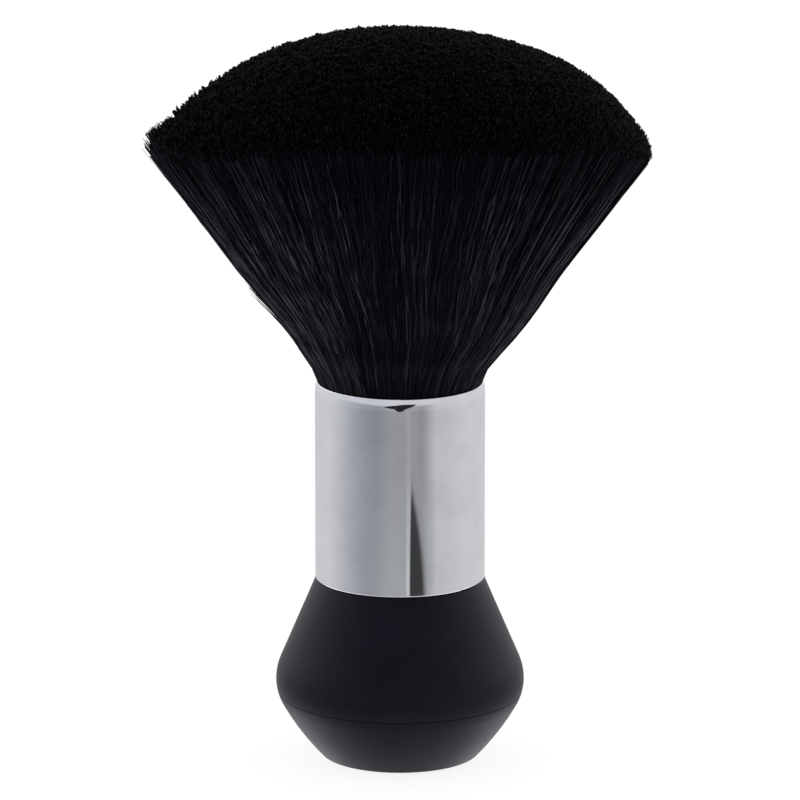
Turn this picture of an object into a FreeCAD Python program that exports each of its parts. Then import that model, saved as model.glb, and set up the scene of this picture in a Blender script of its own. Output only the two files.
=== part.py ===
import FreeCAD, Part
import math
import os

# A barber's neck duster that stands upright on its own foot.
# Millimetres. The origin is the centre of the face it stands on, and +Z points up to the hair tips.
# +X is the wide side of the tuft and Y its flatter side.

# Handle, outside
FOOT_RADIUS = 17.6
FOOT_EDGE_ROUND = 0.6
BELLY_RADIUS = 27.9
BELLY_HEIGHT = 17.5
BELLY_ROUND_ABOVE = 11.7
BELLY_ROUND_BELOW = 10.7
BELLY_TURN_BELOW_DEG = 29.6
SEAM_HEIGHT = 14.7
NECK_HEIGHT = 41.0

# Handle, inside
SHELL_WALL = 2.6
SEAM_GAP = 0.05
SEAM_EDGE_ROUND = 0.15
TONGUE_HEIGHT = 3.0
TONGUE_WALL = 1.6
TENON_LENGTH = 12.0
TENON_ROOF = 3.0
TENON_LEAD_IN = 0.6
BOSS_WALL = 2.8
BOSS_INTO_ROOF = 1.5

# Foot pad
PAD_RADIUS = 15.0
PAD_THICKNESS = 1.2
PAD_PROUD = 0.25
PAD_EDGE_ROUND = 0.25

# Weight and its screw
WEIGHT_RADIUS = 18.0
WEIGHT_THICKNESS = 9.0
WEIGHT_EDGE_ROUND = 0.6
SCREW_SHANK_RADIUS = 1.75
SCREW_HEAD_RADIUS = 3.4
SCREW_HEAD_HEIGHT = 2.1
SCREW_FACE_RADIUS = 2.72
SCREW_FACE_BEVEL = 1.05
SCREW_GRIP = 10.0
SCREW_POINT = 1.6
SCREW_SLOT_WIDTH = 0.9
SCREW_SLOT_LENGTH = 4.0
SCREW_SLOT_DEPTH = 1.1
WASHER_RADIUS = 4.3
WASHER_THICKNESS = 0.8
PLATFORM_FLOOR = 2.0
PLATFORM_WALL = 3.4

# Ferrule
FERRULE_RADIUS = 19.0
FERRULE_LENGTH = 45.3
FERRULE_WALL = 0.65
LIP_BEND = 7.7
LIP_LEAN_DEG = 12.0
LIP_SLOPE = 1.0
FERRULE_FOOT_ROUND = 0.55
NECK_REVEAL = 0.1
NECK_EDGE_ROUND = 0.3

# Knot: the bound and potted roots of the hair, inside the ferrule
SEAT_THICKNESS = 2.0
RESIN_HEIGHT = 12.0
RESIN_FLOOR = 2.0
RESIN_WALL = 1.5
BINDING_WIRE_RADIUS = 0.6
BINDING_TURNS = 3
BINDING_PITCH = 1.7
BINDING_START = 1.4
CORE_HEIGHT = 22.0
CORE_FOOT_RADIUS = 2.5
CORE_TOP_RADIUS = 6.5
CORE_TOP_ROUND = 2.0

# Tuft
FLARE_START = 2.5
FLARE_STEP = 0.85
TUFT_LENGTH = 79.0
DOME_RISE = 37.0
DOME_HALF_WIDTH = 59.0
DOME_HALF_DEPTH = 53.0
FAN_HALF_WIDTH = 48.0
FAN_HALF_DEPTH = 38.0

# Clearances, each on the radius or on one face
GLUE_GAP = 0.1
PRESS_GAP = 0.02
SLIDE_GAP = 0.15
THREAD_GAP = 0.02
SCREW_HOLE_GAP = 0.25
HAIR_GAP = 0.15

# How far a cutting shape runs past what it cuts, and how near two lengths count as the same
OVERRUN = 1.0
SAME = 1e-4

# Worked out from the sizes above
NECK_RADIUS = FERRULE_RADIUS - NECK_REVEAL
BORE_RADIUS = FERRULE_RADIUS - FERRULE_WALL
TENON_RADIUS = BORE_RADIUS - GLUE_GAP
TENON_TOP = NECK_HEIGHT + TENON_LENGTH
MOUTH_HEIGHT = NECK_HEIGHT + FERRULE_LENGTH

HEAD_RECESS_RADIUS = WASHER_RADIUS + SCREW_HOLE_GAP
HEAD_RECESS_TOP = PAD_THICKNESS + SCREW_HEAD_HEIGHT + WASHER_THICKNESS + SLIDE_GAP
PLATFORM_TOP = HEAD_RECESS_TOP + PLATFORM_FLOOR
PLATFORM_RADIUS = HEAD_RECESS_RADIUS + PLATFORM_WALL
WEIGHT_TOP = PLATFORM_TOP + WEIGHT_THICKNESS
SCREW_HOLE_RADIUS = SCREW_SHANK_RADIUS + SCREW_HOLE_GAP
SCREW_HEAD_TOP = HEAD_RECESS_TOP - WASHER_THICKNESS
SCREW_TIP = WEIGHT_TOP + SCREW_GRIP
BOSS_RADIUS = SCREW_SHANK_RADIUS + THREAD_GAP + BOSS_WALL

SEAT_TOP = TENON_TOP + SEAT_THICKNESS
RESIN_TOP = SEAT_TOP + RESIN_HEIGHT
ROOT_BOTTOM = SEAT_TOP + RESIN_FLOOR
ROOT_RADIUS = BORE_RADIUS - RESIN_WALL
BUNDLE_RADIUS = BORE_RADIUS - HAIR_GAP
BINDING_TOP = RESIN_TOP + 2 * BINDING_START + (BINDING_TURNS - 1) * BINDING_PITCH

FLARE_HEIGHT = MOUTH_HEIGHT + FLARE_START
FLARE_RADIUS = BUNDLE_RADIUS + FLARE_STEP
TUFT_TOP = MOUTH_HEIGHT + TUFT_LENGTH
DOME_CENTRE = TUFT_TOP - DOME_RISE

ORIGIN = FreeCAD.Vector(0, 0, 0)
UP = FreeCAD.Vector(0, 0, 1)


def at(radius, height):
    """A point in the plane that outlines are drawn in."""
    return FreeCAD.Vector(radius, 0, height)


def line(start, end):
    """A straight edge between two (radius, height) pairs."""
    return Part.makeLine(at(*start), at(*end))


def arc(centre, radius, start_deg, end_deg):
    """A circular edge about a (radius, height) centre, angles from the radius direction."""
    angles = [start_deg, (start_deg + end_deg) / 2, end_deg]
    points = []
    for angle in angles:
        turn = math.radians(angle)
        points.append(at(centre[0] + radius * math.cos(turn), centre[1] + radius * math.sin(turn)))
    return Part.Arc(*points).toShape()


def spin(edges):
    """The solid that a closed outline of edges sweeps round the Z axis."""
    face = Part.Face(Part.Wire(edges))
    solid = face.revolve(ORIGIN, UP, 360)
    return solid


def spin_polygon(corners):
    """The solid that a polygon of (radius, height) corners sweeps round the Z axis."""
    closed = corners + corners[:1]
    return spin([line(a, b) for a, b in zip(closed, closed[1:])])


def rod(radius, bottom, top):
    """A solid cylinder on the Z axis."""
    return Part.makeCylinder(radius, top - bottom, FreeCAD.Vector(0, 0, bottom))


def tube(outer, inner, bottom, top):
    """A hollow cylinder on the Z axis."""
    return rod(outer, bottom, top).cut(rod(inner, bottom - OVERRUN, top + OVERRUN))


def circle_edges(shape, radius, height):
    """The circular edges of a shape that have this radius and lie at this height."""
    found = []
    for edge in shape.Edges:
        curve = edge.Curve
        if curve.TypeId != "Part::GeomCircle":
            continue
        level = abs(curve.Center.z - height) < SAME
        if level and abs(curve.Radius - radius) < SAME:
            found.append(edge)
    return found


def rounded(shape, size, radius, height):
    """The shape with its circular edge of this radius at this height rounded."""
    return shape.makeFillet(size, circle_edges(shape, radius, height))


class HandleOutline:
    """The handle's outline, or a copy of it that lies a distance inside.

    From the foot it is a long bowl arc, a tighter arc under the widest circle, another above it,
    and a straight cone to the neck, each tangent to the next.
    """

    def __init__(self, inset):
        """Works out the arcs' centres and ends for one inset."""
        self.inset = inset
        self.below = (BELLY_RADIUS - BELLY_ROUND_BELOW, BELLY_HEIGHT)
        self.above = (BELLY_RADIUS - BELLY_ROUND_ABOVE, BELLY_HEIGHT)
        turn = math.radians(BELLY_TURN_BELOW_DEG)
        inward = (-math.cos(turn), math.sin(turn))
        join = (
            self.below[0] - BELLY_ROUND_BELOW * inward[0],
            self.below[1] - BELLY_ROUND_BELOW * inward[1],
        )
        foot = (FOOT_RADIUS - join[0], PAD_PROUD - join[1])
        square = foot[0] ** 2 + foot[1] ** 2
        self.bowl_radius = square / (2 * (foot[0] * inward[0] + foot[1] * inward[1]))
        self.bowl = (
            join[0] + self.bowl_radius * inward[0],
            join[1] + self.bowl_radius * inward[1],
        )
        across = NECK_RADIUS - self.above[0]
        rise = NECK_HEIGHT - self.above[1]
        reach = math.hypot(across, rise)
        lean = math.atan2(rise, across) - math.acos(BELLY_ROUND_ABOVE / reach)
        self.cone_deg = math.degrees(lean)

    def radius_at(self, height):
        """The outline's radius at a height, up to the neck or beyond it."""
        cone = math.radians(self.cone_deg)
        turn = math.radians(BELLY_TURN_BELOW_DEG)
        join = self.below[1] - (BELLY_ROUND_BELOW - self.inset) * math.sin(turn)
        cone_start = self.above[1] + (BELLY_ROUND_ABOVE - self.inset) * math.sin(cone)
        if height < join:
            side = (self.bowl_radius - self.inset) ** 2 - (height - self.bowl[1]) ** 2
            return self.bowl[0] + math.sqrt(side)
        if height < self.below[1]:
            side = (BELLY_ROUND_BELOW - self.inset) ** 2 - (height - self.below[1]) ** 2
            return self.below[0] + math.sqrt(side)
        if height < cone_start:
            side = (BELLY_ROUND_ABOVE - self.inset) ** 2 - (height - self.above[1]) ** 2
            return self.above[0] + math.sqrt(side)
        start = self.above[0] + (BELLY_ROUND_ABOVE - self.inset) * math.cos(cone)
        return start - (height - cone_start) * math.tan(cone)

    def solid(self, bottom, top):
        """Everything inside the outline between two heights, one below the belly and one on the cone."""
        round_below = BELLY_ROUND_BELOW - self.inset
        round_above = BELLY_ROUND_ABOVE - self.inset
        bowl_radius = self.bowl_radius - self.inset
        bowl_deg = math.degrees(math.asin((bottom - self.bowl[1]) / bowl_radius))
        cone = math.radians(self.cone_deg)
        cone_start = (
            self.above[0] + round_above * math.cos(cone),
            self.above[1] + round_above * math.sin(cone),
        )
        foot = (self.radius_at(bottom), bottom)
        neck = (self.radius_at(top), top)
        return spin(
            [
                line((0, bottom), foot),
                arc(self.bowl, bowl_radius, bowl_deg, -BELLY_TURN_BELOW_DEG),
                arc(self.below, round_below, -BELLY_TURN_BELOW_DEG, 0),
                arc(self.above, round_above, 0, self.cone_deg),
                line(cone_start, neck),
                line(neck, (0, top)),
                line((0, top), (0, bottom)),
            ]
        )


OUTSIDE = HandleOutline(0.0)
INSIDE = HandleOutline(SHELL_WALL)
SHELL_FLOOR = PAD_THICKNESS + SHELL_WALL
TONGUE_RADIUS = INSIDE.radius_at(SEAM_HEIGHT) - SLIDE_GAP


def base_pad():
    """The thin soft disc that the brush stands on. It covers the screw."""
    pad = rod(PAD_RADIUS, 0, PAD_THICKNESS)
    return rounded(pad, PAD_EDGE_ROUND, PAD_RADIUS, 0)


def base_shell():
    """The moulded lower bowl: pad recess, screw platform and the tongue at the seam."""
    bowl = OUTSIDE.solid(PAD_PROUD, NECK_HEIGHT)
    bowl = rounded(bowl, FOOT_EDGE_ROUND, FOOT_RADIUS, PAD_PROUD)
    bowl = bowl.common(rod(2 * BELLY_RADIUS, 0, SEAM_HEIGHT))
    bowl = rounded(bowl, SEAM_EDGE_ROUND, OUTSIDE.radius_at(SEAM_HEIGHT), SEAM_HEIGHT)
    hollow = INSIDE.solid(SHELL_FLOOR, NECK_HEIGHT)
    shell = bowl.cut(hollow)
    tongue_bottom = SEAM_HEIGHT - TONGUE_HEIGHT
    tongue_inner = TONGUE_RADIUS - TONGUE_WALL
    tongue = tube(TONGUE_RADIUS, tongue_inner, tongue_bottom, SEAM_HEIGHT + TONGUE_HEIGHT)
    web = hollow.common(rod(2 * BELLY_RADIUS, tongue_bottom, SEAM_HEIGHT))
    web = web.cut(rod(tongue_inner, SHELL_FLOOR, NECK_HEIGHT))
    platform = rod(PLATFORM_RADIUS, PAD_THICKNESS, PLATFORM_TOP)
    shell = shell.fuse([tongue, web, platform])
    shell = shell.cut(rod(PAD_RADIUS + SLIDE_GAP, 0, PAD_THICKNESS))
    shell = shell.cut(rod(HEAD_RECESS_RADIUS, 0, HEAD_RECESS_TOP))
    shell = shell.cut(rod(SCREW_HOLE_RADIUS, 0, PLATFORM_TOP + OVERRUN))
    return shell.removeSplitter()


def base_weight():
    """The steel slug that keeps the brush standing under its wide tuft."""
    slug = rod(WEIGHT_RADIUS, PLATFORM_TOP, WEIGHT_TOP)
    for height in (PLATFORM_TOP, WEIGHT_TOP):
        slug = rounded(slug, WEIGHT_EDGE_ROUND, WEIGHT_RADIUS, height)
    return slug.cut(rod(SCREW_HOLE_RADIUS, 0, NECK_HEIGHT))


def screw_washer():
    """The flat washer under the screw's head."""
    return tube(WASHER_RADIUS, SCREW_HOLE_RADIUS, SCREW_HEAD_TOP, HEAD_RECESS_TOP)


def tie_screw():
    """The screw that draws the lower bowl and the weight up against the upper shell's boss."""
    head_bottom = SCREW_HEAD_TOP - SCREW_HEAD_HEIGHT
    screw = spin_polygon(
        [
            (0, head_bottom),
            (SCREW_FACE_RADIUS, head_bottom),
            (SCREW_HEAD_RADIUS, head_bottom + SCREW_FACE_BEVEL),
            (SCREW_HEAD_RADIUS, SCREW_HEAD_TOP),
            (SCREW_SHANK_RADIUS, SCREW_HEAD_TOP),
            (SCREW_SHANK_RADIUS, SCREW_TIP - SCREW_POINT),
            (0, SCREW_TIP),
        ]
    )
    for turn in (0, 90):
        slot = Part.makeBox(
            SCREW_SLOT_LENGTH,
            SCREW_SLOT_WIDTH,
            SCREW_SLOT_DEPTH,
            FreeCAD.Vector(-SCREW_SLOT_LENGTH / 2, -SCREW_SLOT_WIDTH / 2, head_bottom),
        )
        slot.rotate(ORIGIN, UP, turn)
        screw = screw.cut(slot)
    return screw


def handle_body():
    """The moulded upper shell: belly, neck, the tenon inside the ferrule and the screw boss."""
    seam = SEAM_HEIGHT + SEAM_GAP
    body = OUTSIDE.solid(PAD_PROUD, NECK_HEIGHT)
    body = body.common(rod(2 * BELLY_RADIUS, seam, NECK_HEIGHT))
    body = rounded(body, SEAM_EDGE_ROUND, OUTSIDE.radius_at(seam), seam)
    body = rounded(body, NECK_EDGE_ROUND, NECK_RADIUS, NECK_HEIGHT)
    tenon = rod(TENON_RADIUS, NECK_HEIGHT - OVERRUN, TENON_TOP)
    tenon = tenon.makeChamfer(TENON_LEAD_IN, circle_edges(tenon, TENON_RADIUS, TENON_TOP))
    body = body.fuse(tenon)
    roof = TENON_TOP - TENON_ROOF
    tenon_inner = min(TENON_RADIUS - SHELL_WALL, INSIDE.radius_at(NECK_HEIGHT))
    hollow = INSIDE.solid(SHELL_FLOOR, NECK_HEIGHT)
    hollow = hollow.fuse(rod(tenon_inner, NECK_HEIGHT - OVERRUN, roof))
    body = body.cut(hollow)
    boss = rod(BOSS_RADIUS, WEIGHT_TOP, roof + BOSS_INTO_ROOF)
    body = body.fuse(boss)
    pilot = rod(SCREW_SHANK_RADIUS + THREAD_GAP, WEIGHT_TOP - OVERRUN, SCREW_TIP + SLIDE_GAP)
    return body.cut(pilot).removeSplitter()


def ferrule():
    """The plated tube. Its top bends into a short slope that leans inwards to a thin round rim."""
    lean = math.radians(LIP_LEAN_DEG)
    slope_foot_radius = FERRULE_RADIUS - LIP_BEND * (1 - math.cos(lean))
    slope_top_radius = slope_foot_radius - LIP_SLOPE * math.sin(lean)
    rim = (slope_top_radius - BORE_RADIUS) / (1 + math.cos(lean))
    rim_centre = (BORE_RADIUS + rim, MOUTH_HEIGHT - rim)
    slope_top = (slope_top_radius, rim_centre[1] + rim * math.sin(lean))
    slope_foot = (slope_foot_radius, slope_top[1] - LIP_SLOPE * math.cos(lean))
    bend_centre = (FERRULE_RADIUS - LIP_BEND, slope_foot[1] - LIP_BEND * math.sin(lean))
    foot_centre = (FERRULE_RADIUS - FERRULE_FOOT_ROUND, NECK_HEIGHT + FERRULE_FOOT_ROUND)
    return spin(
        [
            line((BORE_RADIUS, NECK_HEIGHT), (foot_centre[0], NECK_HEIGHT)),
            arc(foot_centre, FERRULE_FOOT_ROUND, -90, 0),
            line((FERRULE_RADIUS, foot_centre[1]), (FERRULE_RADIUS, bend_centre[1])),
            arc(bend_centre, LIP_BEND, 0, LIP_LEAN_DEG),
            line(slope_foot, slope_top),
            arc(rim_centre, rim, LIP_LEAN_DEG, 180),
            line((BORE_RADIUS, rim_centre[1]), (BORE_RADIUS, NECK_HEIGHT)),
        ]
    )


def knot_seat_disc():
    """The disc pressed into the ferrule that closes it under the potted roots."""
    return rod(BORE_RADIUS - PRESS_GAP, TENON_TOP, SEAT_TOP)


def knot_resin():
    """The cast resin cup that grips the roots and sticks them to the ferrule."""
    cup = rod(BORE_RADIUS - PRESS_GAP, SEAT_TOP, RESIN_TOP)
    return cup.cut(rod(ROOT_RADIUS, ROOT_BOTTOM, RESIN_TOP + OVERRUN))


def knot_binding():
    """The turns of wire that tie the bundle above the resin, each a closed ring."""
    rings = []
    for turn in range(BINDING_TURNS):
        height = RESIN_TOP + BINDING_START + turn * BINDING_PITCH
        centre = FreeCAD.Vector(0, 0, height)
        ring_radius = ROOT_RADIUS + BINDING_WIRE_RADIUS + PRESS_GAP
        rings.append(Part.makeTorus(ring_radius, BINDING_WIRE_RADIUS, centre, UP))
    return Part.makeCompound(rings)


def core_shape(gap):
    """The spreading plug, or the room for it where the gap isn't zero."""
    top = ROOT_BOTTOM + CORE_HEIGHT
    cone = Part.makeCone(
        CORE_FOOT_RADIUS + gap,
        CORE_TOP_RADIUS + gap,
        CORE_HEIGHT + gap,
        FreeCAD.Vector(0, 0, ROOT_BOTTOM),
    )
    return rounded(cone, CORE_TOP_ROUND, CORE_TOP_RADIUS + gap, top + gap)


def flare_core():
    """The plug in the middle of the bundle that makes the hair fan out."""
    return core_shape(0.0)


def oval(half_width, half_depth, height):
    """A closed oval wire across the Z axis, or a circle where both halves are alike."""
    wide = FreeCAD.Vector(half_width, 0, height)
    deep = FreeCAD.Vector(0, half_depth, height)
    centre = FreeCAD.Vector(0, 0, height)
    if abs(half_width - half_depth) < SAME:
        return Part.Wire(Part.makeCircle(half_width, centre, UP))
    return Part.Wire(Part.Ellipse(wide, deep, centre).toShape())


def bristle_tuft():
    """The hair as one solid: round roots, an oval fan, and a domed top trimmed to an ellipsoid."""
    roots = spin_polygon(
        [
            (0, ROOT_BOTTOM),
            (ROOT_RADIUS, ROOT_BOTTOM),
            (ROOT_RADIUS, BINDING_TOP),
            (BUNDLE_RADIUS, BINDING_TOP + BUNDLE_RADIUS - ROOT_RADIUS),
            (BUNDLE_RADIUS, MOUTH_HEIGHT),
            (FLARE_RADIUS, FLARE_HEIGHT),
            (0, FLARE_HEIGHT),
        ]
    )
    reach = (TUFT_TOP - FLARE_HEIGHT) / (DOME_CENTRE - FLARE_HEIGHT)
    far_width = FLARE_RADIUS + (FAN_HALF_WIDTH - FLARE_RADIUS) * reach
    far_depth = FLARE_RADIUS + (FAN_HALF_DEPTH - FLARE_RADIUS) * reach
    wires = [oval(FLARE_RADIUS, FLARE_RADIUS, FLARE_HEIGHT), oval(far_width, far_depth, TUFT_TOP)]
    fan = Part.makeLoft(wires, True, True)
    stretch = FreeCAD.Matrix()
    stretch.scale(DOME_HALF_WIDTH, DOME_HALF_DEPTH, DOME_RISE)
    dome = Part.makeSphere(1, ORIGIN, UP, 0, 90, 360).transformGeometry(stretch)
    dome.translate(FreeCAD.Vector(0, 0, DOME_CENTRE))
    lower = fan.common(rod(DOME_HALF_WIDTH, FLARE_HEIGHT, DOME_CENTRE))
    upper = fan.common(dome)
    tuft = roots.fuse([lower, upper])
    return tuft.cut(core_shape(PRESS_GAP)).removeSplitter()


PIECES = [
    base_pad,
    base_shell,
    base_weight,
    screw_washer,
    tie_screw,
    handle_body,
    ferrule,
    knot_seat_disc,
    knot_resin,
    knot_binding,
    flare_core,
    bristle_tuft,
]


def main():
    """Builds every piece and writes one STEP file for each."""
    os.makedirs("parts", exist_ok=True)
    for piece in PIECES:
        shape = piece()
        shape.exportStep(os.path.join("parts", piece.__name__ + ".step"))
        box = shape.BoundBox
        print(
            f"{piece.__name__}: {len(shape.Solids)} solid(s), valid {shape.isValid()}, "
            f"{shape.Volume:.1f} mm3, z {box.ZMin:.2f} to {box.ZMax:.2f}, "
            f"x {box.XLength:.2f}, y {box.YLength:.2f}"
        )


main()
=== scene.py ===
"""Dresses a stand-up neck duster: satin handle, plated ferrule and a fan of fine black hair."""

import logging
import math
from collections.abc import Iterator
from dataclasses import dataclass, field, fields, replace
from enum import Enum
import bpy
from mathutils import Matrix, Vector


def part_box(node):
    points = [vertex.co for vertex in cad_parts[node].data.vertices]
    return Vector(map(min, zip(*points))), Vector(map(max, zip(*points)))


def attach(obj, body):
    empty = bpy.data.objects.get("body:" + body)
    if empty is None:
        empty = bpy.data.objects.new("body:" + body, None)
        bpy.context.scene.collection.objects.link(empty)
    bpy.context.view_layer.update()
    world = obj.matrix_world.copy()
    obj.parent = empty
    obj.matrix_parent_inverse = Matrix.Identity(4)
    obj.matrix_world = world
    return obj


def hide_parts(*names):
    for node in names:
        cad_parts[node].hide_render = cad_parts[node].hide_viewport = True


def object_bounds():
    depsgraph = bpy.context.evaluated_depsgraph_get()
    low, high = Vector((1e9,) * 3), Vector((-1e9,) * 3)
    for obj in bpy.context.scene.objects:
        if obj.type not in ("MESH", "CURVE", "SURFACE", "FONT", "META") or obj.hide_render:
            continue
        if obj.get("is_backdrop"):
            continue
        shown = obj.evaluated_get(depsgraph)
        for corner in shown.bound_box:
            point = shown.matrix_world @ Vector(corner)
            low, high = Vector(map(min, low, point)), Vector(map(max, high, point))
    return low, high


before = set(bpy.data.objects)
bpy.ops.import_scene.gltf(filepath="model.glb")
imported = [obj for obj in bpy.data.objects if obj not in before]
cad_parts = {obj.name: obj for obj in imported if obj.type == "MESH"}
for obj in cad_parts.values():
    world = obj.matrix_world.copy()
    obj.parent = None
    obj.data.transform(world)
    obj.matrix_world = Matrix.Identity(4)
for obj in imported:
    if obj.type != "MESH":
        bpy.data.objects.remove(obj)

from types import SimpleNamespace
from typing import Union

import bmesh
import bpy
from mathutils import Vector

LOG = logging.getLogger("neck_duster")
MM = 0.001
ROOT = "root"
HAIR_MAP = "OFBake"
SEED_STEP = 16
WHITE = (1.0, 1.0, 1.0, 1.0)

Value = Union["Wire", float, int, bool, str, tuple, Vector, bpy.types.ID]
Triple = tuple[float, float, float]
Colour = Triple
Corners = list[Triple]


class Wire:
    """One output of a node. Arithmetic on it adds the nodes that do the sum."""

    def __init__(self, graph: "Graph", socket: bpy.types.NodeSocket) -> None:
        """Keeps the socket and the graph that new nodes go to."""
        self.graph = graph
        self.socket = socket

    @property
    def is_vector(self) -> bool:
        """Whether it carries three numbers."""
        return self.socket.type in ("VECTOR", "RGBA")

    def __add__(self, other: Value) -> "Wire":
        """Sum."""
        return self.graph.sum("ADD", self, other)

    def __radd__(self, other: Value) -> "Wire":
        """Sum, the other way round."""
        return self.graph.sum("ADD", other, self)

    def __sub__(self, other: Value) -> "Wire":
        """Difference."""
        return self.graph.sum("SUBTRACT", self, other)

    def __rsub__(self, other: Value) -> "Wire":
        """Difference, the other way round."""
        return self.graph.sum("SUBTRACT", other, self)

    def __mul__(self, other: Value) -> "Wire":
        """Product, which scales a vector where the other side is one number."""
        return self.graph.product(self, other)

    def __rmul__(self, other: Value) -> "Wire":
        """Product, the other way round."""
        return self.graph.product(self, other)

    def __truediv__(self, other: Value) -> "Wire":
        """Quotient."""
        return self.graph.sum("DIVIDE", self, other)

    def __pow__(self, other: Value) -> "Wire":
        """Power."""
        return self.graph.sum("POWER", self, other)

    def __neg__(self) -> "Wire":
        """The same with its sign turned."""
        return self * -1.0

    def split(self) -> tuple["Wire", "Wire", "Wire"]:
        """The three numbers of a vector."""
        made = self.graph.add("ShaderNodeSeparateXYZ", inputs={"Vector": self})
        return tuple(Wire(self.graph, socket) for socket in made.outputs)


class Graph:
    """A node tree that is written as expressions."""

    def __init__(self, tree: bpy.types.NodeTree) -> None:
        """Keeps the tree that nodes are added to."""
        self.tree = tree

    @classmethod
    def of(cls, owner: Union[bpy.types.Material, bpy.types.World]) -> "Graph":
        """The emptied tree of a material or a world."""
        owner.use_nodes = True
        owner.node_tree.nodes.clear()
        return cls(owner.node_tree)

    @staticmethod
    def find(sockets: bpy.types.bpy_prop_collection, name: Union[str, int]) -> bpy.types.NodeSocket:
        """The socket in use with this name or place.

        Args:
            sockets: A node's inputs or outputs.
            name: The socket's name, or its place in the list.

        Returns:
            The socket.
        """
        if isinstance(name, int):
            return sockets[name]
        return next(s for s in sockets if s.enabled and s.name == name)

    def add(
        self,
        kind: str,
        settings: dict[str, object] | None = None,
        inputs: dict[Union[str, int], Value] | None = None,
    ) -> bpy.types.Node:
        """Adds any node.

        Args:
            kind: The node's type.
            settings: Its own settings, set before its sockets.
            inputs: A value or a link for each socket, by name or place.

        Returns:
            The node.
        """
        made = self.tree.nodes.new(kind)
        for name, value in (settings or {}).items():
            setattr(made, name, value)
        for name, value in (inputs or {}).items():
            socket = self.find(made.inputs, name)
            if isinstance(value, Wire):
                self.tree.links.new(value.socket, socket)
            else:
                socket.default_value = value
        return made

    def node(
        self,
        kind: str,
        settings: dict[str, object] | None = None,
        inputs: dict[Union[str, int], Value] | None = None,
        output: Union[str, int] = 0,
    ) -> Wire:
        """Adds any node, as `add` does, and hands back one of its outputs."""
        return Wire(self, self.find(self.add(kind, settings, inputs).outputs, output))

    @staticmethod
    def holds_vector(*values: Value) -> bool:
        """Whether any of these values has three numbers."""
        return any(v.is_vector if isinstance(v, Wire) else isinstance(v, tuple) for v in values)

    def sum(self, operation: str, *values: Value) -> Wire:
        """A Math or Vector Math node on these values."""
        kind = "ShaderNodeVectorMath" if self.holds_vector(*values) else "ShaderNodeMath"
        return self.node(kind, {"operation": operation}, dict(enumerate(values)))

    def product(self, first: Value, second: Value) -> Wire:
        """The product, with a vector scaled by a number where only one side is a vector.

        Args:
            first: A number or a vector.
            second: The other one.

        Returns:
            The product.
        """
        if self.holds_vector(first) == self.holds_vector(second):
            return self.sum("MULTIPLY", first, second)
        vector, number = (first, second) if self.holds_vector(first) else (second, first)
        return self.node("ShaderNodeVectorMath", {"operation": "SCALE"}, {0: vector, "Scale": number})

    def sine(self, angle: Value) -> Wire:
        """Sine."""
        return self.sum("SINE", angle)

    def cosine(self, angle: Value) -> Wire:
        """Cosine."""
        return self.sum("COSINE", angle)

    def root(self, value: Value) -> Wire:
        """Square root."""
        return self.sum("SQRT", value)

    def size(self, value: Value) -> Wire:
        """The number without its sign."""
        return self.sum("ABSOLUTE", value)

    def most(self, *values: Value) -> Wire:
        """The larger of two."""
        return self.sum("MAXIMUM", *values)

    def least(self, *values: Value) -> Wire:
        """The smaller of two."""
        return self.sum("MINIMUM", *values)

    def vector(self, x: Value, y: Value, z: Value) -> Wire:
        """Three numbers as one vector."""
        return self.node("ShaderNodeCombineXYZ", inputs={0: x, 1: y, 2: z})

    def step(self, value: Value, low: float, high: float, start: float = 0.0, end: float = 1.0) -> Wire:
        """A smooth step.

        Args:
            value: What the step follows.
            low: The value at which it leaves start. It may be above high.
            high: The value at which it reaches end.
            start: What it gives at low.
            end: What it gives at high.

        Returns:
            The step.
        """
        return self.node(
            "ShaderNodeMapRange",
            {"interpolation_type": "SMOOTHSTEP"},
            {"Value": value, "From Min": low, "From Max": high, "To Min": start, "To Max": end},
        )

    def blend(self, amount: Value, first: Value, second: Value) -> Wire:
        """A colour between two, by an amount."""
        return self.node(
            "ShaderNodeMix",
            {"data_type": "RGBA"},
            {"Factor": amount, "A": first, "B": second},
            "Result",
        )

    def noise(self, place: Value, scale: float, detail: float = 2.0, output: str = "Fac") -> Wire:
        """Smooth noise at a place, about 0 to 1."""
        return self.node(
            "ShaderNodeTexNoise",
            {"noise_dimensions": "3D"},
            {"Vector": place, "Scale": scale, "Detail": detail},
            output,
        )


def rgba(colour: Colour) -> tuple[float, float, float, float]:
    """The colour with full cover."""
    return (*colour, 1.0)


@dataclass(frozen=True)
class Finish:
    """A surface finish. Each kind below adds what varies over its surface."""

    name: str
    colour: Colour
    roughness: float = 0.5
    metallic: float = 0.0
    shine: float = 0.5

    def shader(self) -> tuple[Graph, bpy.types.Node, bpy.types.Material]:
        """Starts the material, with its plain values on the shader's own sockets.

        Returns:
            Its graph, its shader and the material.
        """
        material = bpy.data.materials.new(self.name)
        graph = Graph.of(material)
        surface = graph.add(
            "ShaderNodeBsdfPrincipled",
            inputs={
                "Base Color": rgba(self.colour),
                "Roughness": self.roughness,
                "Metallic": self.metallic,
                "Specular IOR Level": self.shine,
            },
        )
        graph.add("ShaderNodeOutputMaterial", inputs={"Surface": Wire(graph, surface.outputs[0])})
        return graph, surface, material

    def place(self, graph: Graph) -> Wire:
        """The point's own coordinates on its piece, in metres."""
        return graph.node("ShaderNodeTexCoord", output="Object")

    def link(self, graph: Graph, surface: bpy.types.Node, **wires: Wire) -> None:
        """Feeds the shader's sockets, named with underscores for spaces."""
        for name, wire in wires.items():
            graph.tree.links.new(wire.socket, surface.inputs[name.replace("_", " ")])

    def bump(self, graph: Graph, height: Wire, depth: float) -> Wire:
        """A Bump node that stands for relief of this depth, in metres."""
        return graph.node(
            "ShaderNodeBump",
            inputs={"Height": height, "Distance": depth, "Strength": 1.0},
        )

    def build(self) -> bpy.types.Material:
        """The finished material."""
        raise NotImplementedError


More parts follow.
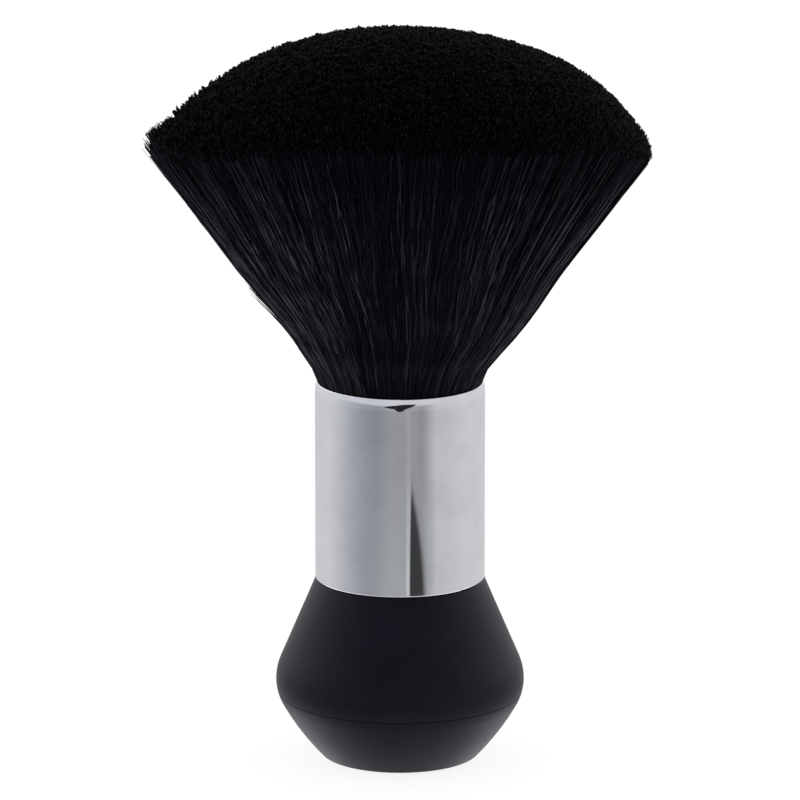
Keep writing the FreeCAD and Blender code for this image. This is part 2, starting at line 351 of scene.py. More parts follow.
@dataclass(frozen=True)
class SoftTouch(Finish):
    """A satin, rubber-like lacquer on moulded plastic: fine orange peel and faint cloudiness."""

    grain: float = 0.5 * MM
    cloud_scale: float = 120.0
    dark_share: float = 0.6
    relief: float = 0.008 * MM

    def build(self) -> bpy.types.Material:
        """Lays the peel and the clouds over the lacquer.

        Returns:
            The finished material.
        """
        graph, surface, material = self.shader()
        place = self.place(graph)
        peel = graph.noise(place, 1 / self.grain, 2.0)
        cloud = graph.noise(place, self.cloud_scale, 3.0)
        dark = tuple(self.dark_share * c for c in self.colour)
        tone = graph.step(0.6 * peel + 0.4 * cloud, 0.38, 0.62)
        self.link(
            graph,
            surface,
            Base_Color=graph.blend(tone, rgba(dark), rgba(self.colour)),
            Roughness=self.roughness + 0.06 * (cloud - 0.5) + 0.04 * (peel - 0.5),
            Normal=self.bump(graph, peel, self.relief),
        )
        return material


@dataclass(frozen=True)
class Plating(Finish):
    """Bright plating: faint polishing lines round the tube and a trace of handling haze."""

    line: float = 0.12 * MM
    line_run: float = 60.0
    haze_scale: float = 140.0
    dull_share: float = 0.93

    def build(self) -> bpy.types.Material:
        """Lays the lines and the haze over the metal.

        Returns:
            The finished material.
        """
        graph, surface, material = self.shader()
        place = self.place(graph)
        lines = graph.noise(place * (self.line_run, self.line_run, 1 / self.line), 1.0, 2.0)
        haze = graph.noise(place, self.haze_scale, 3.0)
        dull = tuple(self.dull_share * c for c in self.colour)
        self.link(
            graph,
            surface,
            Base_Color=graph.blend(graph.step(haze, 0.35, 0.7), rgba(self.colour), rgba(dull)),
            Roughness=self.roughness + 0.02 * graph.step(haze, 0.4, 0.75) + 0.015 * lines,
        )
        return material


@dataclass(frozen=True)
class Grained(Finish):
    """Plain stock with a grain: turned steel, cast resin, moulded inner parts, rubber."""

    grain: float = 0.5 * MM
    contrast: float = 0.25
    relief: float = 0.01 * MM

    def build(self) -> bpy.types.Material:
        """Lays the grain over the stock.

        Returns:
            The finished material.
        """
        graph, surface, material = self.shader()
        speck = graph.noise(self.place(graph), 1 / self.grain, 4.0)
        dark = tuple((1 - self.contrast) * c for c in self.colour)
        self.link(
            graph,
            surface,
            Base_Color=graph.blend(graph.step(speck, 0.35, 0.65), rgba(dark), rgba(self.colour)),
            Roughness=self.roughness + 0.12 * (speck - 0.5),
            Normal=self.bump(graph, speck, self.relief),
        )
        return material


@dataclass(frozen=True)
class Hair(Finish):
    """Dyed filament, with painted sheen in its lighter strands. Its map holds each filament's shade across,
    painted side light included, and its length up.
    """

    # lighter strands: partly random lighter filaments, partly painted sheen streaks in place of highlights
    light: Colour = (0.045, 0.044, 0.057)
    kinds: float = 18.0
    breaks: float = 11.0
    root_tone: float = 0.72
    tip_painted_shade: float = 0.52

    def build(self) -> bpy.types.Material:
        """Tints each filament by its shade, whose lighter strands are partly painted sheen, broken along
        its length; darker towards the roots, with painted shade darkening the tips.

        Returns:
            The finished material.
        """
        graph, surface, material = self.shader()
        shade, along, _ = graph.node("ShaderNodeUVMap", {"uv_map": HAIR_MAP}).split()
        # broken: breaks the lighter strands and their painted sheen along each filament's length
        broken = graph.noise(graph.vector(shade * self.kinds, along * self.breaks, 0.0), 1.0, 1.0)
        tone = graph.step(shade, 0.35, 1.0) * graph.step(broken, 0.36, 0.62, 0.15, 1.0)
        tone = tone * graph.step(along, 0.0, 0.3, self.root_tone, 1.0)
        # painted shade: the tips darken up along the rim and the dome
        tone = tone * graph.step(along, 0.78, 0.97, 1.0, self.tip_painted_shade)
        self.link(
            graph,
            surface,
            Base_Color=graph.blend(tone, rgba(self.colour), rgba(self.light)),
            Roughness=self.roughness + 0.1 * (broken - 0.5),
        )
        return material


@dataclass(frozen=True)
class Finishes:
    """Every finish on the brush, by what wears it."""

    handle: Finish = SoftTouch("soft_touch_black", (0.0066, 0.0056, 0.0135), 0.42, shine=0.16)
    ferrule: Finish = Plating("bright_plating", (0.90, 0.91, 0.94), 0.035, metallic=1.0)
    pad: Finish = Grained("foot_rubber", (0.012, 0.012, 0.012), 0.8, grain=0.4 * MM)
    steel: Finish = Grained("turned_steel", (0.42, 0.42, 0.43), 0.35, metallic=1.0)
    moulding: Finish = Grained("inner_moulding", (0.62, 0.61, 0.57), 0.55)
    resin: Finish = Grained("cast_resin", (0.42, 0.27, 0.08), 0.25, grain=1.5 * MM)
    hair: Finish = Hair("black_filament", (0.0015, 0.0012, 0.0033), 0.5, shine=0.05)
    heart: Finish = Grained("hair_shadow", (0.0010, 0.0008, 0.0018), 0.95, grain=0.6 * MM, shine=0.0)


@dataclass
class Frame:
    """The places and sizes that the looks are hung on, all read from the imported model."""

    low: Vector
    high: Vector

    @classmethod
    def read(cls) -> "Frame":
        """The whole model's box, before any look is added."""
        low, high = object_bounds()
        return cls(Vector(low), Vector(high))

    def write(self) -> None:
        """Puts the frame's box and the dressed object's box side by side, in a table that is not kept."""
        low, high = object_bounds()
        sizes = {
            "cad": [list(self.low), list(self.high)],
            "visual": [list(low), list(high)],
        }


def dress(node: str, material: bpy.types.Material) -> None:
    """Gives a frame node its finish, on its object's own slots.

    Args:
        node: The node's name.
        material: Its finish.
    """
    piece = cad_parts[node]
    for slot in piece.material_slots:
        slot.link = "OBJECT"
        slot.material = material
    LOG.info("dressed %s in %s", node, material.name)


@dataclass
class Handle:
    """The two moulded shells, what is inside them, and the pad they stand on."""

    shells: tuple[str, ...] = ("handle_body", "base_shell")
    steel: tuple[str, ...] = ("base_weight", "tie_screw", "screw_washer")
    pad: str = "base_pad"

    def dress(self, finishes: Finishes) -> None:
        """Gives each piece its finish.

        Args:
            finishes: Every finish on the brush.
        """
        shell = finishes.handle.build()
        steel = finishes.steel.build()
        for node in self.shells:
            dress(node, shell)
        for node in self.steel:
            dress(node, steel)
        dress(self.pad, finishes.pad.build())


@dataclass
class Knot:
    """The plated tube and the bound, potted roots inside it."""

    tube: str = "ferrule"
    wire: str = "knot_binding"
    resin: str = "knot_resin"
    mouldings: tuple[str, ...] = ("knot_seat_disc", "flare_core")

    def dress(self, finishes: Finishes) -> None:
        """Gives each piece its finish.

        Args:
            finishes: Every finish on the brush.
        """
        dress(self.tube, finishes.ferrule.build())
        dress(self.wire, finishes.steel.build())
        dress(self.resin, finishes.resin.build())
        moulding = finishes.moulding.build()
        for node in self.mouldings:
            dress(node, moulding)


class Growth(Enum):
    """The kinds of hair that the tuft is made of."""

    FLANK = "flank"
    DOME = "dome"
    STRAY = "stray"
    SHORT = "short"
    WISP = "wisp"


@dataclass(frozen=True)
class Sizes:
    """A set of numbers that a tree takes as named inputs, one for each field."""

    @staticmethod
    def label(name: str) -> str:
        """The input's name for a field's name."""
        return name.replace("_", " ").title()

    @classmethod
    def sockets(cls, recipe: "Recipe") -> SimpleNamespace:
        """Adds an input to a tree for each number.

        Args:
            recipe: The tree's recipe.

        Returns:
            The inputs, under the fields' own names.
        """
        return SimpleNamespace(
            **{size.name: recipe.number(cls.label(size.name), size.type is int) for size in fields(cls)}
        )

    def values(self) -> dict[str, float]:
        """Each number by its input's name."""
        return {self.label(size.name): getattr(self, size.name) for size in fields(self)}


@dataclass(frozen=True)
class FanShape(Sizes):
    """The tuft's form: round at the mouth, oval at the rim, under a trimmed dome."""

    mouth: float
    flare: float
    mouth_radius: float
    rim_width: float
    rim_depth: float
    centre: float
    dome_width: float
    dome_depth: float
    rise: float = 37.0 * MM
    skew: float = 0.8 * MM
    lean: float = 0.2 * MM
    sway: float = 0.9 * MM

    @classmethod
    def from_frame(cls) -> "FanShape":
        """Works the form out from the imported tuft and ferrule.

        Returns:
            The form.
        """
        straight_rise = 1.4 * MM
        mouth_inset = 0.95 * MM
        rim_inset = 0.8 * MM
        dome_wider, dome_deeper = 1.036, 1.14
        _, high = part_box("bristle_tuft")
        tube_low, tube_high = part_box("ferrule")
        return cls(
            mouth=tube_high.z,
            flare=tube_high.z + straight_rise,
            mouth_radius=(tube_high.x - tube_low.x) / 2 - mouth_inset,
            rim_width=high.x - rim_inset,
            rim_depth=high.y - rim_inset,
            centre=high.z - cls.rise,
            dome_width=high.x * dome_wider,
            dome_depth=high.y * dome_deeper,
        )

    def point(self, angle: float, share: float, climb: float, below: float) -> Vector:
        """A point in the fan.

        Args:
            angle: The angle round the tuft.
            share: 0 on the middle line, 1 on the outside.
            climb: 0 at the mouth, 1 on the dome.
            below: How far under the dome its top lies.

        Returns:
            The point.
        """
        sunk = 3.0 * MM
        rim = Vector((self.rim_width * math.cos(angle), self.rim_depth * math.sin(angle))) * share
        left = 1 - (rim.x / self.dome_width) ** 2 - (rim.y / self.dome_depth) ** 2
        top = self.centre + self.rise * math.sqrt(left) - below
        height = self.mouth - sunk + (top - self.mouth + sunk) * climb
        start = Vector((math.cos(angle), math.sin(angle))) * self.mouth_radius * share
        flat = start.lerp(rim, max(0.0, (height - self.flare) / (top + below - self.flare)))
        return Vector((flat.x, flat.y, height))


@dataclass
class Recipe:
    """A Geometry Nodes tree with named inputs, and the plain mesh that it makes."""

    name: str
    tree: bpy.types.NodeTree = field(init=False)
    graph: Graph = field(init=False)
    entry: bpy.types.Node = field(init=False)

    def __post_init__(self) -> None:
        """Starts an empty tree with one geometry output."""
        self.tree = bpy.data.node_groups.new(self.name, "GeometryNodeTree")
        self.tree.interface.new_socket("Geometry", in_out="OUTPUT", socket_type="NodeSocketGeometry")
        self.graph = Graph(self.tree)
        self.entry = self.tree.nodes.new("NodeGroupInput")

    def number(self, name: str, whole: bool = False) -> Wire:
        """A named number that the modifier sets.

        Args:
            name: The input's name.
            whole: Whether it is a whole number.

        Returns:
            The input.
        """
        kind = "NodeSocketInt" if whole else "NodeSocketFloat"
        self.tree.interface.new_socket(name, in_out="INPUT", socket_type=kind)
        return Wire(self.graph, self.entry.outputs[name])

    def end(self, geometry: Wire, material: bpy.types.Material) -> None:
        """Ends the tree in real, dressed geometry.

        Args:
            geometry: What the tree has made.
            material: The finish that it wears.
        """
        real = self.graph.node("GeometryNodeRealizeInstances", inputs={"Geometry": geometry})
        worn = self.graph.node("GeometryNodeSetMaterial", inputs={"Geometry": real, "Material": material})
        leave = self.tree.nodes.new("NodeGroupOutput")
        self.tree.links.new(worn.socket, leave.inputs[0])

    def grow(self, piece: str, values: dict[str, float]) -> bpy.types.Object:
        """Runs the tree once and keeps the result as a plain mesh.

        Args:
            piece: The new object's name.
            values: A value for every named input.

        Returns:
            The object, at the origin, with no modifier.
        """
        carrier = bpy.data.objects.new(piece, bpy.data.meshes.new(piece + "_start"))
        bpy.context.scene.collection.objects.link(carrier)
        modifier = carrier.modifiers.new("grow", "NODES")
        modifier.node_group = self.tree
        for item in self.tree.interface.items_tree:
            if item.item_type == "SOCKET" and item.in_out == "INPUT":
                modifier[item.identifier] = values[item.name]
        now = bpy.context.evaluated_depsgraph_get()
        mesh = bpy.data.meshes.new_from_object(
            carrier.evaluated_get(now), preserve_all_data_layers=True, depsgraph=now
        )
        carrier.modifiers.clear()
        carrier.data = mesh
        mesh.name = piece
        return carrier


class Draw(Enum):
    """What each random number of a filament is for."""

    ANGLE = 0
    SHARE = 1
    TURN = 2
    FLOW = 3
    RIPPLE = 4
    LENGTH = 5
    SWELL = 6
    SHADE = 7
    THICKNESS = 8
    TILT = 9


@dataclass(frozen=True)
class Crop(Sizes):
    """One crop of filaments: how many, how thick and how unruly."""

    seed: int
    count: int
    points: int = 2
    first_angle: float = 0.0
    angle_span: float = math.tau
    inner: float = 0.0
    outer: float = 1.0
    crowding: float = 0.5
    radius: float = 0.16 * MM
    tip_share: float = 0.5
    shown: float = 200 * MM
    locks: float = 40.0
    clump: float = 1.0 * MM
    wave: float = 1.0 * MM
    twist: float = 0.0
    bulge: float = 0.0
    flick: float = 0.0
    trimmed: float = 0.4 * MM
    uneven: float = 0.25 * MM
    lump: float = 1.9 * MM
    spike: float = 0.0
    patch_share: float = 0.35
    contrast: float = 1.0
    # painted side light: how strongly the tuft's sides are painted lighter
    painted_side_light: float = 0.6

    def slices(self, pieces: int) -> Iterator["Crop"]:
        """Cuts the crop into pieces that each cover a slice of the tuft.

        Args:
            pieces: How many.

        Yields:
            Each piece's crop.
        """
        span = self.angle_span / pieces
        for part in range(pieces):
            yield replace(
                self,
                seed=self.seed + part,
                count=self.count // pieces,
                first_angle=self.first_angle + part * span,
                angle_span=span,
            )


@dataclass(frozen=True)
class Planting:
    """A kind of hair, its crop, and how many pieces it is split into."""

    kind: Growth
    crop: Crop
    pieces: int = 1


PLANTINGS = (
    Planting(
        Growth.FLANK,
        Crop(
            seed=11, count=9600, points=16, inner=0.94, crowding=0.6, radius=0.21 * MM,
            clump=1.2 * MM, wave=2.6 * MM, twist=0.1, bulge=0.2 * MM, uneven=0.3 * MM,
            spike=2.6 * MM, contrast=0.65, painted_side_light=1.15,
        ),
        pieces=5,
    ),
    Planting(
        Growth.DOME,
        Crop(
            seed=41, count=64000, outer=0.99, radius=0.18 * MM, tip_share=0.8, shown=6 * MM,
            clump=0.5 * MM, wave=0.4 * MM, trimmed=0.35 * MM, spike=2.0 * MM, patch_share=0.85,
            contrast=1.08, painted_side_light=0.75,
        ),
        pieces=4,
    ),
    Planting(
        Growth.STRAY,
        Crop(
            seed=71, count=90, points=20, inner=0.99, radius=0.09 * MM, wave=2.4 * MM,
            twist=0.12, bulge=0.3 * MM, uneven=0.5 * MM, spike=2.0 * MM,
        ),
    ),
    Planting(
        Growth.SHORT,
        Crop(
            seed=79, count=260, points=20, first_angle=2.2, angle_span=1.9, inner=0.98,
            radius=0.11 * MM, wave=1.6 * MM, twist=0.04, trimmed=8 * MM, uneven=8 * MM,
            flick=0.8 * MM,
        ),
    ),
    Planting(
        Growth.WISP,
        Crop(
            seed=83, count=40, points=20, first_angle=2.9, angle_span=0.5, inner=0.98,
            radius=0.10 * MM, wave=2.6 * MM, twist=0.03, trimmed=32 * MM, uneven=2.0 * MM,
            flick=2.1 * MM,
        ),
    ),
)


@dataclass(frozen=True)
class Root:
    """Where each filament stands round the tuft."""

    angle: Wire
    share: Wire
    across: Wire
    deep: Wire
    outward: Wire
    spot: Wire


@dataclass(frozen=True)
class Tip:
    """Where each filament ends: its place seen from above, its side and trim, and its length."""

    place: Wire
    side: Wire
    trim: Wire
    length: Wire


@dataclass
class FilamentRecipe(Recipe):
    """Grows tapered three-sided filaments from the mouth, or from under the dome, to the dome."""

    buried: float = 4.0 * MM
    lowest_dome: float = 0.02
    skew_gain: float = 5.4
    skew_return: float = 1.2
    left_drop: float = 0.53
    hill_scale: float = 26.0
    barb_scale: Triple = (90.0, 40.0, 1.0)
    lock_raggedness: float = 1.6
    bend_softness: float = 0.0002
    hump_gain: float = 9.5
    flow_climb: float = 90.0
    flow_spread: float = 40.0
    flow_own: float = 0.6
    flow_scale: float = 0.45
    ripple_climb: float = 180.0
    ripple_spread: float = 40.0
    ripple_share: float = 0.95
    inward_share: float = 0.4
    held_share: float = 0.12
    loosening: float = 2.5
    patch_scale: Triple = (120.0, 70.0, 1.0)
    patch_gain: float = 2.6
    patch_shift: float = 0.8
    base_shade: float = 0.35
    taper_start: float = 0.55
    map_width: float = 1 / 256
    form: SimpleNamespace = field(init=False)
    crop: SimpleNamespace = field(init=False)
    which: Wire = field(init=False)
    along: Wire = field(init=False)

    def build(self, material: bpy.types.Material) -> None:
        """Makes the tree.

        Args:
            material: The finish that the filaments wear.
        """
        g = self.graph
        self.crop = Crop.sockets(self)
        self.form = FanShape.sockets(self)
        index = g.node("GeometryNodeInputIndex")
        self.which = g.node("GeometryNodeCurveOfPoint", inputs={"Point Index": index}, output="Curve Index")
        self.along = g.node("GeometryNodeSplineParameter", output="Factor")

        root = self.root()
        tip = self.tip(root)
        begin = g.most(0.0, 1 - self.crop.shown / tip.length)
        climb = begin + (1 - begin) * self.along
        grown = g.node(
            "GeometryNodeSetPosition",
            inputs={"Geometry": self.stalks(), "Position": self.path(root, tip, climb)},
        )
        tilt = self.chance(Draw.TILT, 0.0, math.tau)
        grown = g.node("GeometryNodeSetCurveTilt", inputs={"Curve": grown, "Tilt": tilt})
        grown = self.keep(grown, "shade", self.shade(root, tip))
        grown = self.keep(grown, "along", climb)
        self.end(self.skin(grown), material)

    def chance(self, draw: Draw, low: float = 0.0, high: float = 1.0) -> Wire:
        """A random number for each filament.

        Args:
            draw: What it is for.
            low: The least it can be.
            high: The most it can be.

        Returns:
            The number.
        """
        return self.graph.node(
            "FunctionNodeRandomValue",
            {"data_type": "FLOAT"},
            {"Min": low, "Max": high, "ID": self.which, "Seed": self.crop.seed * SEED_STEP + draw.value},
            "Value",
        )

    def stalks(self) -> Wire:
        """Makes a straight curve for each filament, all of them at the origin.

        Returns:
            The curves.
        """
        g = self.graph
        seedlings = g.node("GeometryNodePoints", inputs={"Count": self.crop.count})
        stalk = g.node("GeometryNodeCurvePrimitiveLine", inputs={"End": (0.0, 0.0, 1.0)})
        stalk = g.node("GeometryNodeResampleCurve", inputs={"Curve": stalk, "Count": self.crop.points})
        stand = g.node("GeometryNodeInstanceOnPoints", inputs={"Points": seedlings, "Instance": stalk})
        return g.node("GeometryNodeRealizeInstances", inputs={"Geometry": stand})

    def root(self) -> Root:
        """Stands each filament at random in the crop's ring or slice.

        Returns:
            Where they stand.
        """
        g, crop = self.graph, self.crop
        angle = crop.first_angle + crop.angle_span * self.chance(Draw.ANGLE)
        share = crop.inner + (crop.outer - crop.inner) * self.chance(Draw.SHARE) ** crop.crowding
        across = g.cosine(angle)
        deep = g.sine(angle)
        outward = g.vector(across, deep, 0.0)
        return Root(angle, share, across, deep, outward, outward * share)

    def tip(self, root: Root) -> Tip:
        """Sets each filament's end on the trimmed dome, drawn a little into its lock.

        Args:
            root: Where the filaments stand.

        Returns:
            Where they end.
        """
        g, crop, form = self.graph, self.crop, self.form
        centred = g.noise(root.spot * crop.locks, 1.0, 1.0, "Color") - (0.5, 0.5, 0.5)
        lock_x, lock_y, lock_z = centred.split()
        angle = root.angle + self.chance(Draw.TURN, -1.0, 1.0) * crop.twist
        lean = form.lean * (root.share + root.across)
        x = form.rim_width * root.share * g.cosine(angle) + lock_x * crop.clump + lean
        y = form.rim_depth * root.share * g.sine(angle) + lock_y * crop.clump
        side = x / form.rim_width

        under = 1 - (x / form.dome_width) ** 2 - (y / form.dome_depth) ** 2
        drop = self.left_drop * g.step(-side, 0.5, 1.05)
        lean_up = side ** 3.0 - self.skew_return * side ** 5.0 - drop
        lopsided = form.skew * self.skew_gain * lean_up
        trim = form.centre + form.rise * g.root(g.most(under, self.lowest_dome)) + lopsided

        left_barbs = 0.5 * g.step(-side, 0.45, 0.9) + 0.4 * g.step(-side, 0.9, 1.0)
        barbs = left_barbs + 0.3 * g.step(side, 0.9, 1.0)
        barb = g.step(g.noise(root.spot * self.barb_scale, 1.0, 0.0), 0.48, 0.7)
        hills = (g.noise(root.spot * self.hill_scale, 1.0, 2.0) - 0.5) * crop.lump * (1.2 - 0.6 * side)
        ragged = (lock_z * self.lock_raggedness + self.chance(Draw.LENGTH, -1.0, 1.0)) * crop.uneven
        length = trim - form.mouth + hills + ragged + barbs * barb * crop.spike - crop.trimmed
        return Tip(g.vector(x, y, 0.0), side, trim, length)

    def path(self, root: Root, tip: Tip, climb: Wire) -> Wire:
        """The place of every point along the filaments.

        Args:
            root: Where they stand.
            tip: Where they end.
            climb: How far up its filament each point is, 0 to 1.

        Returns:
            The place.
        """
        g, crop, form = self.graph, self.crop, self.form
        height = form.mouth - self.buried + (tip.length + self.buried) * climb
        ease = (height - form.flare) / (tip.trim - form.flare)
        above = g.most(0.0, ease)
        open_up = 0.5 * (ease + g.root(ease * ease + self.bend_softness))

        hump = above * g.most(0.0, 1 - ease) ** 3.0 * self.hump_gain
        swell = crop.bulge * hump * self.chance(Draw.SWELL) ** 2.0
        swell = swell + crop.flick * self.chance(Draw.SWELL) * self.along ** 3.0
        aside = form.sway * g.step(ease, 0.04, 0.24) * g.step(ease, 0.5, 0.26)

        stream = height * self.flow_climb + root.share * self.flow_spread
        stream = stream + self.chance(Draw.FLOW) * self.flow_own
        flow = g.vector(root.across * crop.locks, root.deep * crop.locks, stream)
        drift = g.noise(flow, self.flow_scale, 1.0, "Color") - (0.5, 0.5, 0.5)
        sideways, inward, _ = drift.split()
        own = g.vector(self.chance(Draw.RIPPLE) * self.ripple_spread, 0.0, height * self.ripple_climb)
        ripple = g.noise(own, 1.0, 1.0) - 0.5
        free = crop.wave * g.least(1.0, self.held_share + self.loosening * above)

        start = root.outward * (form.mouth_radius * root.share)
        place = start + (tip.place - start) * open_up
        place = place + root.outward * (swell + self.inward_share * inward * free)
        tangent = g.vector(-root.deep, root.across, 0.0)
        place = place + tangent * ((sideways + self.ripple_share * ripple) * free)
        return place + g.vector(aside, 0.0, height)

    def shade(self, root: Root, tip: Tip) -> Wire:
        """How light each filament is, 0 to 1: partly its own, partly that of its patch, with painted side
        light that spreads the shades wider towards the tuft's sides, the left more than the right, so the
        side hair reads lighter.

        Args:
            root: Where the filaments stand.
            tip: Where they end.

        Returns:
            The shade.
        """
        g, crop = self.graph, self.crop
        patch = self.patch_gain * g.noise(root.spot * self.patch_scale, 1.0, 0.0) - self.patch_shift
        own = self.chance(Draw.SHADE)
        mixed = own + (patch - own) * crop.patch_share
        # lit: painted side light, growing towards the sides of the tuft and stronger on the left
        lit = crop.contrast + crop.painted_side_light * (tip.side * tip.side - 0.25 * tip.side)
        return g.least(1.0, g.most(0.0, self.base_shade + (mixed - self.base_shade) * lit))

    def skin(self, grown: Wire) -> Wire:
        """Gives the curves three tapered sides, and a map from their kept shade and climb.

        Args:
            grown: The curves.

        Returns:
            The mesh.
        """
        g = self.graph
        ring = g.node("GeometryNodeCurvePrimitiveCircle", inputs={"Resolution": 3, "Radius": 1.0})
        ring = self.keep(ring, "side", g.node("GeometryNodeSplineParameter", output="Factor"))
        taper = 1 - (1 - self.crop.tip_share) * g.step(self.along, self.taper_start, 1.0)
        thick = self.crop.radius * taper * self.chance(Draw.THICKNESS, 0.75, 1.25)
        body = g.node(
            "GeometryNodeCurveToMesh",
            inputs={"Curve": grown, "Profile Curve": ring, "Scale": thick, "Fill Caps": True},
        )
        u = self.kept("shade") * (1 - self.map_width) + self.kept("side") * self.map_width
        body = g.node(
            "GeometryNodeStoreNamedAttribute",
            {"data_type": "FLOAT2", "domain": "CORNER"},
            {"Geometry": body, "Name": HAIR_MAP, "Value": g.vector(u, self.kept("along"), 0.0)},
        )
        for name in ("shade", "along", "side"):
            body = g.node("GeometryNodeRemoveAttribute", inputs={"Geometry": body, "Name": name})
        return g.node("GeometryNodeSetShadeSmooth", inputs={"Geometry": body})

    def keep(self, geometry: Wire, name: str, value: Wire) -> Wire:
        """Keeps a number on the geometry's points by name."""
        return self.graph.node(
            "GeometryNodeStoreNamedAttribute",
            {"data_type": "FLOAT", "domain": "POINT"},
            {"Geometry": geometry, "Name": name, "Value": value},
        )

    def kept(self, name: str) -> Wire:
        """A number kept on the points by name."""
        return self.graph.node(
            "GeometryNodeInputNamedAttribute", {"data_type": "FLOAT"}, {"Name": name}, "Attribute"
        )


@dataclass
class Tuft:
    """The hair: a dark core, partly inner hair and partly painted shade for the tuft's unlit depth, with
    fine filaments grown all over it.
    """

    shape: FanShape
    node: str = "bristle_tuft"
    slot: str = "bristle_black"
    sides: int = 96
    levels: int = 24
    rings: int = 12
    share: float = 0.935
    depth: float = 3.2 * MM

    def heart(self, material: bpy.types.Material) -> bpy.types.Object:
        """Makes the closed dark mass of inner hair, a little inside the filaments: its near-black finish is
        painted shade for the deep, unlit inside of the tuft.

        Args:
            material: Its finish.

        Returns:
            The piece.
        """
        steps = [(self.share, level / (self.levels - 1)) for level in range(self.levels)]
        steps += [(self.share * (1 - ring / self.rings), 1.0) for ring in range(1, self.rings)]
        mesh = bmesh.new()
        turns = [math.tau * turn / self.sides for turn in range(self.sides)]
        rows = [
            [mesh.verts.new(self.shape.point(turn, share, climb, self.depth)) for turn in turns]
            for share, climb in steps
        ]
        for low, high in zip(rows, rows[1:]):
            for turn in range(self.sides):
                after = (turn + 1) % self.sides
                mesh.faces.new((low[turn], low[after], high[after], high[turn]))
        floor = mesh.verts.new(self.shape.point(0.0, 0.0, 0.0, self.depth))
        peak = mesh.verts.new(self.shape.point(0.0, 0.0, 1.0, self.depth))
        for turn in range(self.sides):
            after = (turn + 1) % self.sides
            mesh.faces.new((rows[0][after], rows[0][turn], floor))
            mesh.faces.new((rows[-1][turn], rows[-1][after], peak))
        bmesh.ops.recalc_face_normals(mesh, faces=mesh.faces)
        data = bpy.data.meshes.new("tuft_shadow_core")
        mesh.to_mesh(data)
        mesh.free()
        data.materials.append(material)
        data.shade_smooth()
        piece = bpy.data.objects.new("tuft_shadow_core", data)
        bpy.context.scene.collection.objects.link(piece)
        return piece

    def grow(self, finishes: Finishes) -> None:
        """Makes every piece of hair and puts it in place of the frame's plain solid.

        Args:
            finishes: Every finish on the brush.
        """
        self.settle(self.heart(finishes.heart.build()))
        recipe = FilamentRecipe("filaments")
        recipe.build(finishes.hair.build())
        for planting in PLANTINGS:
            for number, crop in enumerate(planting.crop.slices(planting.pieces), start=1):
                name = f"{planting.kind.value}_hair_{number}"
                self.settle(recipe.grow(name, {**crop.values(), **self.shape.values()}))

    def settle(self, piece: bpy.types.Object) -> None:
        """Puts the piece in its body and hides the frame's plain solid that it replaces.

        Args:
            piece: A finished piece of hair.
        """
        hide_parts(self.node)
        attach(piece, ROOT)
        LOG.info("settled %s: %d faces", piece.name, len(piece.data.polygons))


def sheet(name: str, corners: Corners) -> tuple[bpy.types.Object, Graph]:
    """A flat studio sheet with an empty finish.

    Args:
        name: The sheet's name.
        corners: Its corners, in order.

    Returns:
        The sheet and its finish's graph.
    """
    data = bpy.data.meshes.new(name)
    data.from_pydata(corners, [], [tuple(range(len(corners)))])
    piece = bpy.data.objects.new(name, data)
    bpy.context.scene.collection.objects.link(piece)
    material = bpy.data.materials.new(name)
    data.materials.append(material)
    piece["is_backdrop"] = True
    return piece, Graph.of(material)


def mirror_only(piece: bpy.types.Object) -> None:
    """Leaves a sheet to be seen in shiny surfaces alone.

    Args:
        piece: The sheet.
    """
    piece.visible_camera = False
    piece.visible_diffuse = False
    piece.visible_transmission = False
    piece.visible_shadow = False


def bearing(g: Graph, x: Wire, y: Wire) -> Wire:
    """The angle round from straight in front, in degrees, with the right side positive."""
    return g.sum("ARCTAN2", x, -y) * (180 / math.pi)


@dataclass(frozen=True)
class Floor:
    """A pale, softly lit table top."""

    half: float = 6.0
    colour: Colour = (0.32, 0.32, 0.32)
    glow: float = 0.86

    def build(self, level: float) -> None:
        """Lays it.

        Args:
            level: Its height.
        """
        half = self.half
        corners = [(-half, -half, level), (half, -half, level), (half, half, level), (-half, half, level)]
        table, g = sheet("floor", corners)
        soft = g.node("ShaderNodeBsdfDiffuse", inputs={"Color": rgba(self.colour)})
        glow = g.node("ShaderNodeEmission", inputs={"Color": WHITE, "Strength": self.glow})
        both = g.node("ShaderNodeAddShader", inputs={0: soft, 1: glow})
        g.add("ShaderNodeOutputMaterial", inputs={"Surface": both})
        table.visible_glossy = False


